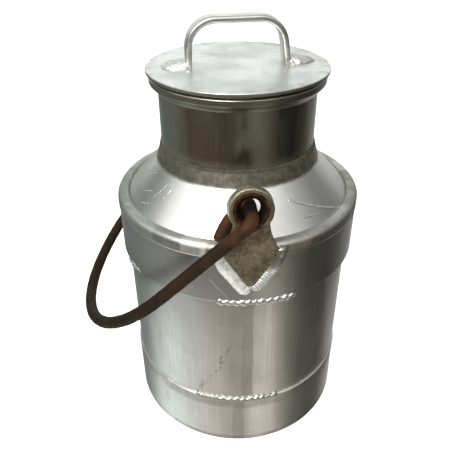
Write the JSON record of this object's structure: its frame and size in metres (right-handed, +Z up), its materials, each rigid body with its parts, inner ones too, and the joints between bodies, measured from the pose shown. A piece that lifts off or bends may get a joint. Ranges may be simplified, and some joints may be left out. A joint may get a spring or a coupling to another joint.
{
  "type": "milk can",
  "caption": "Welded aluminium milk can with a plug lid on a strap handle and a steel rod bail hinged in two cast lugs on the shoulder band.",
  "frame": {"origin": "centre of the foot ring on the surface the can stands on", "axes": "+Z up along the can's axis; the two lugs stand on the Y axis, the front one at -Y, and the bail hangs towards -X"},
  "size_m": [0.2736, 0.2594, 0.3972],
  "materials": {
    "can_aluminium": "satin, worn sheet",
    "neck_aluminium": "dull satin sheet",
    "lid_aluminium": "pale matt plate",
    "handle_aluminium": "rubbed strap",
    "cast_lug": "rough sand casting",
    "weld_bead": "bright rippled weld",
    "rusty_bush": "rusted",
    "rusty_rod": "dark rust"
  },
  "bodies": {
    "can": {"foot_ring": "can_aluminium", "base_plate": "can_aluminium", "body_shell": "can_aluminium", "top_band": "can_aluminium", "shoulder_cone": "can_aluminium", "neck_tube": "neck_aluminium", "mouth_ring": "neck_aluminium", "front_lug": "cast_lug", "rear_lug": "cast_lug", "front_lug_bush": "rusty_bush", "rear_lug_bush": "rusty_bush", "front_lug_weld": "weld_bead", "rear_lug_weld": "weld_bead", "band_seam_welds": "weld_bead", "foot_seam_welds": "weld_bead"},
    "lid": {"lid_plate": "lid_aluminium", "lid_plug": "lid_aluminium", "lid_handle": "handle_aluminium", "lid_handle_welds": "weld_bead"},
    "bail": {"bail": "rusty_rod"}
  },
  "joints": [
    {"name": "bail_swing", "type": "hinge", "parent": "can", "child": "bail", "pos_m": [0, 0, 0.2755], "axis": [0, 1, 0], "range_deg": [0, 268]},
    {"name": "lid_lift", "type": "slide", "parent": "can", "child": "lid", "axis": [0, 0, 1], "range_m": [0, 0.06]}
  ]
}
